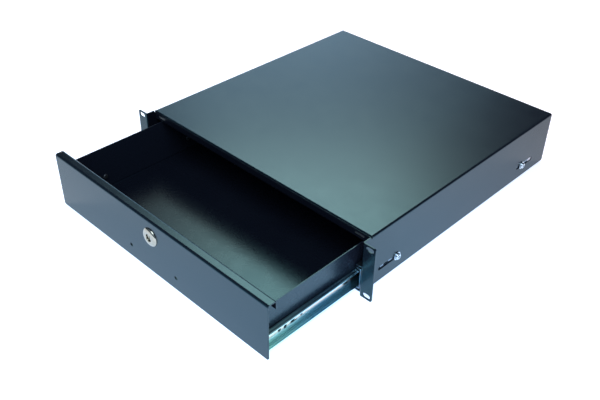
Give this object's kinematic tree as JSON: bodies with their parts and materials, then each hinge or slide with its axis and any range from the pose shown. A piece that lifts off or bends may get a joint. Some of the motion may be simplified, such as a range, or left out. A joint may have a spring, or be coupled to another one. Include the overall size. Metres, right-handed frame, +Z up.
{
  "type": "rack drawer",
  "caption": "Sliding drawer for a 19-inch rack, two units high: folded sheet case with slotted ears, tray on ball slides, folded front panel and cam lock.",
  "frame": {"origin": "centre of the four rack slots, on the rear face of the ears, which seats on the rack rails", "axes": "+X right seen from the front, +Y to the rear of the rack, +Z up"},
  "size_m": [0.4826, 0.6219, 0.0882],
  "materials": {
    "black_coat": "satin black powder coat",
    "zinc": "bright zinc plate",
    "black_oxide": "blackened, lightly oiled",
    "cage_steel": "plain rolled steel",
    "ball_steel": "polished",
    "chrome": "polished chrome plate",
    "bumper_rubber": "matt"
  },
  "bodies": {
    "case": {"chassis_shell": "black_coat", "back_panel": "black_coat", "slide_outer_left": "zinc", "rear_bumper_left": "bumper_rubber", "slide_bolts_left": "zinc", "slide_washers_left": "zinc", "slide_outer_right": "zinc", "rear_bumper_right": "bumper_rubber", "slide_bolts_right": "zinc", "slide_washers_right": "zinc"},
    "middle_left": {"slide_middle_left": "zinc"},
    "middle_right": {"slide_middle_right": "zinc"},
    "drawer": {"drawer_front": "black_coat", "drawer_tray": "black_coat", "drawer_back": "black_coat", "lock_body": "chrome", "lock_nut": "zinc", "slide_inner_left": "zinc", "drawer_screws_left": "black_oxide", "slide_inner_right": "zinc", "drawer_screws_right": "black_oxide"},
    "outer_cage_left": {"outer_cage_left": "cage_steel", "outer_balls_left": "ball_steel"},
    "outer_cage_right": {"outer_cage_right": "cage_steel", "outer_balls_right": "ball_steel"},
    "inner_cage_left": {"inner_cage_left": "cage_steel", "inner_balls_left": "ball_steel"},
    "inner_cage_right": {"inner_cage_right": "cage_steel", "inner_balls_right": "ball_steel"},
    "lock": {"lock_plug": "chrome", "lock_cam": "zinc", "cam_screw": "zinc"}
  },
  "joints": [
    {"name": "middle_slide_left", "type": "slide", "parent": "case", "child": "middle_left", "axis": [0, -1, 0], "range_m": [0, 0.2]},
    {"name": "middle_slide_right", "type": "slide", "parent": "case", "child": "middle_right", "axis": [0, -1, 0], "range_m": [0, 0.2]},
    {"name": "drawer_slide", "type": "slide", "parent": "middle_left", "child": "drawer", "axis": [0, -1, 0], "range_m": [-0.1615, 0.0385]},
    {"name": "outer_cage_slide_left", "type": "slide", "parent": "case", "child": "outer_cage_left", "axis": [0, -1, 0], "range_m": [0, 0.1]},
    {"name": "outer_cage_slide_right", "type": "slide", "parent": "case", "child": "outer_cage_right", "axis": [0, -1, 0], "range_m": [0, 0.1]},
    {"name": "inner_cage_slide_left", "type": "slide", "parent": "middle_left", "child": "inner_cage_left", "axis": [0, -1, 0], "range_m": [-0.08075, 0.01925]},
    {"name": "inner_cage_slide_right", "type": "slide", "parent": "middle_right", "child": "inner_cage_right", "axis": [0, -1, 0], "range_m": [-0.08075, 0.01925]},
    {"name": "lock_turn", "type": "hinge", "parent": "drawer", "child": "lock", "pos_m": [0, -0.16, 0.01735], "axis": [0, -1, 0], "range_deg": [0, 90]}
  ],
  "couplings": [
    {"joint": "middle_slide_right", "follows": "middle_slide_left", "ratio": 1},
    {"joint": "outer_cage_slide_left", "follows": "middle_slide_left", "ratio": 0.5},
    {"joint": "outer_cage_slide_right", "follows": "middle_slide_left", "ratio": 0.5},
    {"joint": "inner_cage_slide_left", "follows": "drawer_slide", "ratio": 0.5},
    {"joint": "inner_cage_slide_right", "follows": "drawer_slide", "ratio": 0.5}
  ]
}
